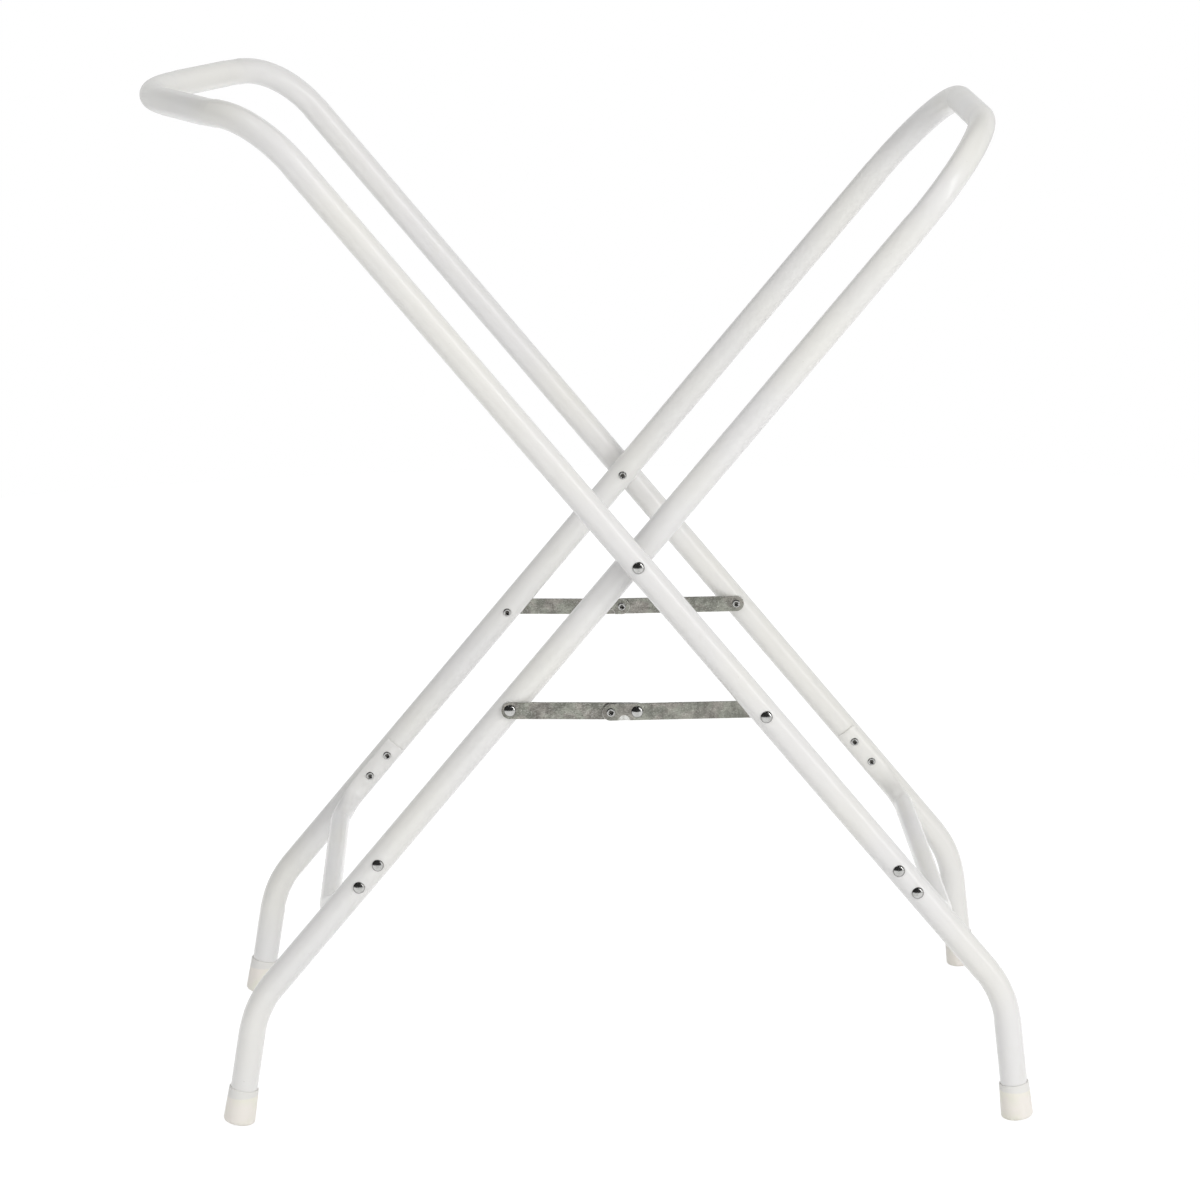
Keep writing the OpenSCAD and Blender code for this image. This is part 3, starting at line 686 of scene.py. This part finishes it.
def bar_outline(length, inset, notch_x=None, notch_r=0.0, side=1):
    """Outline of a round-ended bar, less an inset, with an optional round notch in one long edge."""
    half = BAR_W / 2 - inset
    line = []

    def edge(x0, x1, y):
        if notch_x is None or (y > 0) != (side > 0):
            steps = 8
            return [(x0 + (x1 - x0) * i / steps, y) for i in range(1, steps)]
        r = notch_r + inset
        reach = math.sqrt(r * r - inset * inset)
        first = -1 if x1 > x0 else 1
        a0 = math.atan2(-inset, first * reach)
        dip = [(notch_x + first * reach, y)]
        for i in range(1, 24):
            a = a0 - first * (math.pi - 2 * math.asin(inset / r)) * i / 24
            dip.append((notch_x + r * math.cos(a), half + inset + r * math.sin(a)))
        dip.append((notch_x - first * reach, y))
        if side < 0:
            dip = [(x, y) if i in (0, 24) else (x, -q) for i, (x, q) in enumerate(dip)]
        return dip

    for k in range(25):
        a = math.pi / 2 + math.pi * k / 24
        line.append((half * math.cos(a), half * math.sin(a)))
    line += edge(0.0, length, -half)
    for k in range(25):
        a = -math.pi / 2 + math.pi * k / 24
        line.append((length + half * math.cos(a), half * math.sin(a)))
    line += edge(length, 0.0, half)
    return line


def plate(stock, outline, holes, low, high, low_lip, high_lip, place, mirror):
    """A flat plate between two heights, its edges rounded by the lips. Holes are (x, radius)."""
    levels = []
    for lip, sign, end in ((low_lip, 1, low), (high_lip, -1, high)):
        rows = []
        for k in range(4) if lip else (3,):
            a = math.pi / 2 * k / 3
            # The lip's rows carry the edge value, painted later as wear and painted highlight.
            edge_tone = 0.0 if k == 0 and lip else 1.0
            rows.append((lip * (1 - math.sin(a)), end + sign * lip * (1 - math.cos(a)), edge_tone))
        levels.append(rows)
    levels = levels[0] + levels[1][::-1]
    points, edge, faces, loops = [], [], [], []

    def wall(ring_of, turned):
        first = len(points)
        n = len(ring_of(0.0))
        for inset, z, edge_tone in levels:
            points.extend((x, y, z) for x, y in ring_of(inset))
            edge.extend([edge_tone] * n)
        around = rings_to_faces(len(levels), n, closed_ends=False, first=first)
        faces.extend([tuple(reversed(f)) for f in around] if turned else around)
        loops.append((first, n))

    wall(outline, False)
    for x, r in holes:
        wall(lambda inset, x=x, r=r: [
            (x + (r + inset) * math.cos(t), (r + inset) * math.sin(t))
            for t in (2 * math.pi * k / HOLE_POINTS for k in range(HOLE_POINTS))
        ], True)
    for top in (False, True):
        flat, index = [], []
        for first, n in loops:
            start = first + (len(levels) - 1) * n if top else first
            flat.append([Vector(points[start + k]) for k in range(n)])
            index += range(start, start + n)
        for tri in tessellate_polygon(flat):
            a, b, c = (points[index[i]] for i in tri)
            ccw = (b[0] - a[0]) * (c[1] - a[1]) - (b[1] - a[1]) * (c[0] - a[0]) > 0
            face = [index[i] for i in tri]
            faces.append(face if ccw == top else face[::-1])
    stock.add(points, faces, edge, place, mirror)


def bar_faces(which):
    """Where a front bar's two faces lie, out from the inner leg's side."""
    low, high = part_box(f"front_{which}_strut")
    side = -HALF_W["inner"] - TUBE_R
    return side - high[1], side - low[1]


def build_bar(which, side):
    word = "front" if side == FRONT else "back"
    reach = KNEE - PIN[which]
    reach.y = 0
    length = reach.length
    low, high = bar_faces(which)
    place = bar_axes(which)
    if side == BACK:
        place = MIRROR @ place
    stock = Stock()
    pin = SHANK_D / 2 + PIN_PLAY
    if which == "inner":
        notch = dict(notch_x=length - TAIL_LEN / 2, notch_r=EAR_R + EAR_PLAY, side=-1)
        holes = [(0.0, pin), (length, pin), (length - TAIL_LEN, STUD_HOLE_D / 2)]
        plate(stock, lambda i: bar_outline(length, i, **notch), holes, low, high, LIP, LIP, place, False)
    else:
        whole = length + TAIL_LEN
        ear = dict(notch_x=length + TAIL_LEN / 2, notch_r=EAR_R, side=1)
        holes = [(0.0, pin), (length, pin), (whole, pin)]
        step = high - BAR_T * EAR_DEPTH
        plate(stock, lambda i: bar_outline(whole, i), holes, low, step, LIP, 0.0, place, False)
        plate(stock, lambda i: bar_outline(whole, i, **ear), holes, step, high, 0.0, LIP, place, False)
    bar = stock.piece(f"{word}_{which}_bar_strip", "zinc_steel")
    hand_over(bar, f"{word}_{which}_bar", "zinc_steel", f"{word}_{which}_strut")


# ---------------------------------------------------------------- rivets, by geometry nodes
HEAD_POINTS, ROLL_POINTS, SHANK_POINTS = 40, 48, 28


def lathe(name, profile, n, petals=None):
    """A closed turned shape. profile is (radius, height, painted edge shade) upwards; petals are its waved
    rows.
    """
    points, edge = [], []
    for row, (round_r, h, edge_tone) in enumerate(profile):
        waved = petals is not None and petals[0] <= row <= petals[1]
        for k in range(n):
            a = 2 * math.pi * k / n
            r = round_r * (1 + PETAL_DEPTH * math.cos(PETALS * a)) if waved else round_r
            points.append((r * math.cos(a), r * math.sin(a), h))
            edge.append(edge_tone)
    piece = new_piece(name, points, rings_to_faces(len(profile), n))
    piece.data.attributes.new("edge", "FLOAT", "POINT").data.foreach_set("value", edge)
    outwards(piece.data)
    sharpen(piece.data, SHARP_RIVET)
    return piece


def head_shape(skirt):
    """A domed head with an upright rim, and a skirt under it that sits over the tube's sides."""
    cap_h = HEAD_H - HEAD_RIM
    ball_r = (HEAD_D * HEAD_D / 4 + cap_h * cap_h) / (2 * cap_h)
    top_a = math.asin(HEAD_D / 2 / ball_r)
    r = HEAD_D / 2
    # Each row's third number is painted shade: full on the skirt and rim, fading out up the dome's edge.
    line = [(r - 0.0006, -skirt, 1.0), (r, -skirt + 0.0002, 1.0), (r, HEAD_RIM - 0.0002, 0.6)]
    for k in range(1, 13):
        a = top_a * (1 - k / 12) if k < 12 else top_a * 0.02
        z = HEAD_RIM + cap_h - ball_r + ball_r * math.cos(a)
        line.append((ball_r * math.sin(a), z, max(0.0, 0.85 - 0.28 * k)))
    return lathe("rivet_head", line, HEAD_POINTS)


def roll_shape(skirt):
    """A rolled tail: a rounded ring whose inside runs down to the shank in a few soft petals."""
    r, edge = ROLL_D / 2, ROLL_H * 0.8
    line = [(r - 0.0004, -skirt, 1.0), (r, -skirt + 0.0001, 1.0)]
    for k in range(9):
        a = math.pi / 2 * k / 8
        # Painted shade down the ring's outer side, none on its top.
        edge_tone = min(1.0, max(0.0, 1.5 - 0.3 * k))
        line.append((r - edge + edge * math.cos(a), ROLL_H - edge + edge * math.sin(a), edge_tone))
    lip, floor_r, floor_z = r - edge - 0.0003, 0.0008, 0.0001
    # The hollow's rows carry painted shade, darkest down at the shank.
    for k in range(9):
        t = k / 8
        drop = (1 - math.cos(math.pi * t)) / 2
        line.append((lip + (floor_r - lip) * t, ROLL_H + (floor_z - ROLL_H) * drop, min(1.0, 2.5 * t * t)))
    return lathe("rivet_roll", line, ROLL_POINTS, petals=(len(line) - 8, len(line) - 2))


def shank_shape():
    """A plain shank of length 1 below the origin."""
    r = SHANK_D / 2
    # The shank carries half the painted shade, for where it stands in its hole.
    return lathe("rivet_shank", [(r, -1.0, 0.5), (r, 0.0, 0.5)], SHANK_POINTS)


def riveter():
    """Node tree that sets a head, a rolled tail or a shank at every point, along the point's own axis."""
    tree = bpy.data.node_groups.new("riveter", "GeometryNodeTree")
    ports = tree.interface
    ports.new_socket("Places", in_out="INPUT", socket_type="NodeSocketGeometry")
    for word in ("Head", "Roll", "Shank"):
        ports.new_socket(word, in_out="INPUT", socket_type="NodeSocketObject")
    for word in ("Head Size", "Roll Size"):
        ports.new_socket(word, in_out="INPUT", socket_type="NodeSocketFloat")
    ports.new_socket("Seed", in_out="INPUT", socket_type="NodeSocketInt")
    ports.new_socket("Plating", in_out="INPUT", socket_type="NodeSocketMaterial")
    ports.new_socket("Rivets", in_out="OUTPUT", socket_type="NodeSocketGeometry")
    add, join = tree.nodes.new, tree.links.new
    given, made = add("NodeGroupInput"), add("NodeGroupOutput")

    def stored(name, kind):
        node = add("GeometryNodeInputNamedAttribute")
        node.data_type = kind
        node.inputs["Name"].default_value = name
        return node.outputs["Attribute"]

    dots = add("GeometryNodeMeshToPoints")
    join(given.outputs["Places"], dots.inputs["Mesh"])
    aim = add("FunctionNodeAlignRotationToVector")
    aim.axis = "Z"
    join(stored("aim", "FLOAT_VECTOR"), aim.inputs["Vector"])
    spin = add("FunctionNodeRandomValue")
    spin.data_type = "FLOAT"
    spin.inputs[2].default_value, spin.inputs[3].default_value = 0.0, 2 * math.pi
    join(given.outputs["Seed"], spin.inputs["Seed"])
    about = add("FunctionNodeAxisAngleToRotation")
    about.inputs["Axis"].default_value = (0, 0, 1)
    join(spin.outputs[1], about.inputs["Angle"])
    turned = add("FunctionNodeRotateRotation")
    turned.rotation_space = "LOCAL"
    join(aim.outputs["Rotation"], turned.inputs["Rotation"])
    join(about.outputs["Rotation"], turned.inputs["Rotate By"])
    all_sets = add("GeometryNodeJoinGeometry")
    for number, word in enumerate(("Head", "Roll", "Shank")):
        match = add("FunctionNodeCompare")
        match.data_type, match.operation = "FLOAT", "EQUAL"
        match.inputs["Epsilon"].default_value = 0.1
        match.inputs[1].default_value = float(number)
        join(stored("kind", "FLOAT"), match.inputs[0])
        shape, put = add("GeometryNodeObjectInfo"), add("GeometryNodeInstanceOnPoints")
        join(given.outputs[word], shape.inputs["Object"])
        join(dots.outputs["Points"], put.inputs["Points"])
        join(match.outputs["Result"], put.inputs["Selection"])
        join(shape.outputs["Geometry"], put.inputs["Instance"])
        join(turned.outputs["Rotation"], put.inputs["Rotation"])
        size = add("ShaderNodeCombineXYZ")
        if word == "Shank":
            size.inputs[0].default_value = size.inputs[1].default_value = 1.0
            join(stored("length", "FLOAT"), size.inputs[2])
        else:
            for axis in range(3):
                join(given.outputs[word + " Size"], size.inputs[axis])
        join(size.outputs[0], put.inputs["Scale"])
        join(put.outputs["Instances"], all_sets.inputs["Geometry"])
    real, paint = add("GeometryNodeRealizeInstances"), add("GeometryNodeSetMaterial")
    join(all_sets.outputs["Geometry"], real.inputs["Geometry"])
    join(real.outputs["Geometry"], paint.inputs["Geometry"])
    join(given.outputs["Plating"], paint.inputs["Material"])
    join(paint.outputs["Geometry"], made.inputs["Rivets"])
    return tree


HEAD, ROLL, SHANK = 0.0, 1.0, 2.0  # as the riveter counts its kinds


class Rivets:
    """Places for rivet parts on one body."""

    def __init__(self):
        self.rows = []

    def put(self, kind, place, aim, length=1.0):
        self.rows.append((Vector(place), Vector(aim), kind, length))

    def rivet(self, m, head_z, tail_z):
        """A whole rivet in the axes m, its head standing on head_z and its tail hanging from tail_z."""
        out = (m.to_3x3() @ Vector((0, 0, 1))).normalized()
        self.put(HEAD, m @ Vector((0, 0, head_z)), out)
        self.put(ROLL, m @ Vector((0, 0, tail_z)), -out)
        self.put(SHANK, m @ Vector((0, 0, head_z)), out, head_z - tail_z)

    def both_sides(self):
        self.rows += [(flip_y(p), flip_y(a), k, n) for p, a, k, n in list(self.rows)]


def set_rivets(name, body, rivets, nodes, shapes):
    mesh = bpy.data.meshes.new(name + "_places")
    mesh.from_pydata([tuple(row[0]) for row in rivets.rows], [], [])
    aim = mesh.attributes.new("aim", "FLOAT_VECTOR", "POINT")
    aim.data.foreach_set("vector", [c for row in rivets.rows for c in row[1]])
    mesh.attributes.new("kind", "FLOAT", "POINT").data.foreach_set("value", [row[2] for row in rivets.rows])
    mesh.attributes.new("length", "FLOAT", "POINT").data.foreach_set("value", [row[3] for row in rivets.rows])
    places = bpy.data.objects.new(name + "_places", mesh)
    bpy.context.collection.objects.link(places)
    head, roll, shank = shapes
    values = {"Head": head, "Roll": roll, "Shank": shank, "Head Size": 1.0, "Roll Size": 1.0, "Seed": 7}
    piece = run_tree(places, RIVETER, name, Plating=FINISH["bright_rivet"], **values)
    hand_over(piece, body, "bright_rivet", *nodes)


RIVETER = riveter()


def build_rivets():
    seated = (head_shape(0.0013), roll_shape(0.0007), shank_shape())
    flat = (head_shape(0.0), roll_shape(0.0), shank_shape())
    apart = HALF_W["outer"] - HALF_W["inner"]  # from an inner leg's axis to the outer leg's

    outer = Rivets()
    outer.rivet(leg_axes("outer", 0.0), TUBE_R, -apart - TUBE_R - SEAT_GAP)
    bar_low = bar_faces("outer")[0]
    outer.rivet(leg_axes("outer", STRUT_AT), TUBE_R, bar_low - SEAT_GAP - apart + TUBE_R)
    for down in BRACE_RIVETS:
        outer.rivet(leg_axes("outer", down), TUBE_R, -PRESS_OUT)
    outer.both_sides()
    set_rivets("outer_frame_rivets", "outer_frame", outer, [
        "front_pivot_rivet", "back_pivot_rivet",
        "front_outer_strut_rivet", "back_outer_strut_rivet", "outer_brace_rivets",
    ], seated)

    inner = Rivets()
    inner.rivet(leg_axes("inner", STRUT_AT), TUBE_R + bar_faces("inner")[1] + SEAT_GAP, -TUBE_R)
    for down in BRACE_RIVETS:
        inner.rivet(leg_axes("inner", down), TUBE_R, -PRESS_OUT)
    inner.both_sides()
    set_rivets("inner_frame_rivets", "inner_frame", inner, [
        "front_inner_strut_rivet", "back_inner_strut_rivet", "inner_brace_rivets",
    ], seated)

    for side, word in ((FRONT, "front"), (BACK, "back")):
        m_outer, m_inner = bar_axes("outer"), bar_axes("inner")
        if side == BACK:
            m_outer, m_inner = MIRROR @ m_outer, MIRROR @ m_inner
        length = Vector((KNEE.x - PIN["outer"].x, 0, KNEE.z - PIN["outer"].z)).length
        out = Vector((0, side, 0))
        high = bar_faces("outer")[1]
        on_knee, on_stud = (m_outer @ Vector((x, 0, high)) for x in (length, length + TAIL_LEN))
        knee = Rivets()
        knee.put(HEAD, on_knee, out)
        knee.put(SHANK, on_knee, out, BAR_T + SEAT_GAP)
        knee.put(ROLL, on_stud, out)
        knee.put(SHANK, on_stud, out, BAR_T + SEAT_GAP)
        set_rivets(f"{word}_knee_head_and_stud", f"{word}_outer_bar", knee,
                   [f"{word}_knee_rivet_head", f"{word}_snap_stud"], flat)
        low, high = bar_faces("inner")
        tail = Rivets()
        tail.put(ROLL, m_inner @ Vector((length, 0, low)), -out)
        tail.put(SHANK, m_inner @ Vector((length, 0, high + SEAT_GAP)), out, BAR_T + SEAT_GAP)
        set_rivets(f"{word}_knee_tail", f"{word}_inner_bar", tail, [f"{word}_knee_rivet_tail"], flat)
    for shape in seated + flat:
        bpy.data.objects.remove(shape)


# ---------------------------------------------------------------- the saddle washers
def build_washers():
    """Each washer is a copy of its CAD solid's mesh, with doubled points merged and its rounds smooth."""
    for node in [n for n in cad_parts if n.endswith("_saddle") or n.endswith("_washer")]:
        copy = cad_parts[node].data.copy()
        washer = bpy.data.objects.new(node + "_nylon", copy)
        bpy.context.collection.objects.link(washer)
        weld = washer.modifiers.new("weld", "WELD")
        weld.merge_threshold = 0.00001
        ready = washer.evaluated_get(bpy.context.evaluated_depsgraph_get())
        mesh = bpy.data.meshes.new_from_object(ready)
        washer.modifiers.clear()
        washer.data = mesh
        mesh.materials.clear()
        mesh.materials.append(FINISH["nylon"])
        for polygon in mesh.polygons:
            polygon.use_smooth = True
        sharpen(mesh, SHARP_WASHER)
        body = "outer_frame" if "_outer_" in node else "inner_frame"
        hand_over(washer, body, "nylon", node)


# ---------------------------------------------------------------- floor, light and camera
class Studio:
    """A shader tree for the paper or the room, whose second shader is what camera, gloss and glass see."""

    def __init__(self, tree, output, mixer):
        self.tree = tree
        tree.nodes.clear()
        self.end, self.both = self.add(output), self.add(mixer)
        path = self.add("ShaderNodeLightPath")
        either, any_of = self.add("ShaderNodeMath"), self.add("ShaderNodeMath")
        self.camera_ray = path.outputs["Is Camera Ray"]
        either.operation = any_of.operation = "MAXIMUM"
        self.join(self.camera_ray, either.inputs[0])
        self.join(path.outputs["Is Glossy Ray"], either.inputs[1])
        self.join(either.outputs[0], any_of.inputs[0])
        self.join(path.outputs["Is Transmission Ray"], any_of.inputs[1])
        self.join(any_of.outputs[0], self.both.inputs["Fac"])
        self.join(self.both.outputs[0], self.end.inputs["Surface"])

    def add(self, kind, **sockets):
        node = self.tree.nodes.new(kind)
        for socket, value in sockets.items():
            node.inputs[socket].default_value = value
        return node

    def join(self, a, b):
        self.tree.links.new(a, b)


def build_stage():
    """A wide sheet of white paper under the stand, which keeps the stand's shadow."""
    rim = [
        (FLOOR_R * math.cos(a), FLOOR_R * math.sin(a), -FLOOR_DROP)
        for a in (2 * math.pi * k / FLOOR_POINTS for k in range(FLOOR_POINTS))
    ]
    floor = new_piece("studio_floor", rim, [tuple(range(FLOOR_POINTS))])
    paper = bpy.data.materials.new("studio_white")
    paper.use_nodes = True
    look = Studio(paper.node_tree, "ShaderNodeOutputMaterial", "ShaderNodeMixShader")
    matt = look.add("ShaderNodeBsdfDiffuse", Color=(PAPER, PAPER, PAPER, 1))
    shade = look.add("ShaderNodeBsdfDiffuse", Color=(PAPER_SHADE, PAPER_SHADE, PAPER_SHADE, 1))
    glow = look.add("ShaderNodeEmission", Strength=PAPER_GLOW)
    seen = look.add("ShaderNodeAddShader")
    look.join(glow.outputs[0], seen.inputs[0])
    look.join(shade.outputs[0], seen.inputs[1])
    look.join(matt.outputs[0], look.both.inputs[1])
    look.join(seen.outputs[0], look.both.inputs[2])
    floor.data.materials.append(paper)


def build_lights():
    """A white room, dark in gloss above and behind the camera, with softboxes, two strips and a lamp."""
    world = bpy.data.worlds.new("studio")
    bpy.context.scene.world = world
    world.use_nodes = True
    room = Studio(world.node_tree, "ShaderNodeOutputWorld", "ShaderNodeMixShader")
    ambient = room.add("ShaderNodeBackground", Color=(0.98, 0.99, 1.0, 1), Strength=ROOM_LIGHT)
    shown = room.add("ShaderNodeBackground", Strength=1.0)
    where, lean = room.add("ShaderNodeTexCoord"), room.add("ShaderNodeVectorMath")
    rise, whiter = room.add("ShaderNodeMapRange"), room.add("ShaderNodeMath")
    lean.operation, whiter.operation = "DOT_PRODUCT", "MAXIMUM"
    lean.inputs[1].default_value = DARK_TOWARDS
    rise.interpolation_type = "SMOOTHSTEP"
    for socket, value in GLOSS_FADE:
        rise.inputs[socket].default_value = value
    room.join(where.outputs["Object"], lean.inputs[0])
    room.join(lean.outputs["Value"], rise.inputs["Value"])
    room.join(rise.outputs["Result"], whiter.inputs[0])
    room.join(room.camera_ray, whiter.inputs[1])
    room.join(whiter.outputs[0], shown.inputs["Color"])
    room.join(ambient.outputs[0], room.both.inputs[1])
    room.join(shown.outputs[0], room.both.inputs[2])

    for name, place, size, length, power, tint, in_gloss in SOFTBOXES:
        light = bpy.data.lights.new(name, "AREA")
        light.shape, light.energy, light.color = "RECTANGLE", power, tint
        light.size, light.size_y = size
        lamp = bpy.data.objects.new(name, light)
        off = unit(Vector(place) - AIM)
        long = unit(Vector(length) - off * off.dot(Vector(length)))
        lamp.matrix_world = axes(long.cross(off), long, Vector(place))
        lamp.visible_camera, lamp.visible_glossy = False, in_gloss
        bpy.context.collection.objects.link(lamp)


def build_camera():
    """The photograph's own viewpoint, taken from the stand's rivets, feet and hoops."""
    yaw, pitch, roll = CAMERA_YAW, CAMERA_PITCH, CAMERA_ROLL
    ahead = Vector((math.sin(yaw) * math.cos(pitch), math.cos(yaw) * math.cos(pitch), -math.sin(pitch)))
    level = Vector((math.cos(yaw), -math.sin(yaw), 0))
    upright = level.cross(ahead)
    right = math.cos(roll) * level + math.sin(roll) * upright
    top = -math.sin(roll) * level + math.cos(roll) * upright
    lens = bpy.data.cameras.new("camera")
    lens.sensor_fit, lens.sensor_width = "HORIZONTAL", SENSOR_MM
    lens.lens = FOCAL_PIXELS * SENSOR_MM / PHOTO_PIXELS
    lens.clip_start, lens.clip_end = 0.1, 40.0
    camera = bpy.data.objects.new("camera", lens)
    camera.matrix_world = Matrix((
        (right.x, top.x, -ahead.x, CAMERA_AT[0]),
        (right.y, top.y, -ahead.y, CAMERA_AT[1]),
        (right.z, top.z, -ahead.z, CAMERA_AT[2]),
        (0, 0, 0, 1),
    ))
    bpy.context.collection.objects.link(camera)
    bpy.context.scene.camera = camera


build_frame_tubes()
for which in SIGN:
    build_brace(which)
    for side in (FRONT, BACK):
        build_foot(which, side)
        build_bar(which, side)
build_rivets()
build_washers()
build_stage()
build_lights()
build_camera()
bpy.context.scene.view_settings.view_transform = "Standard"

bpy.context.view_layer.update()
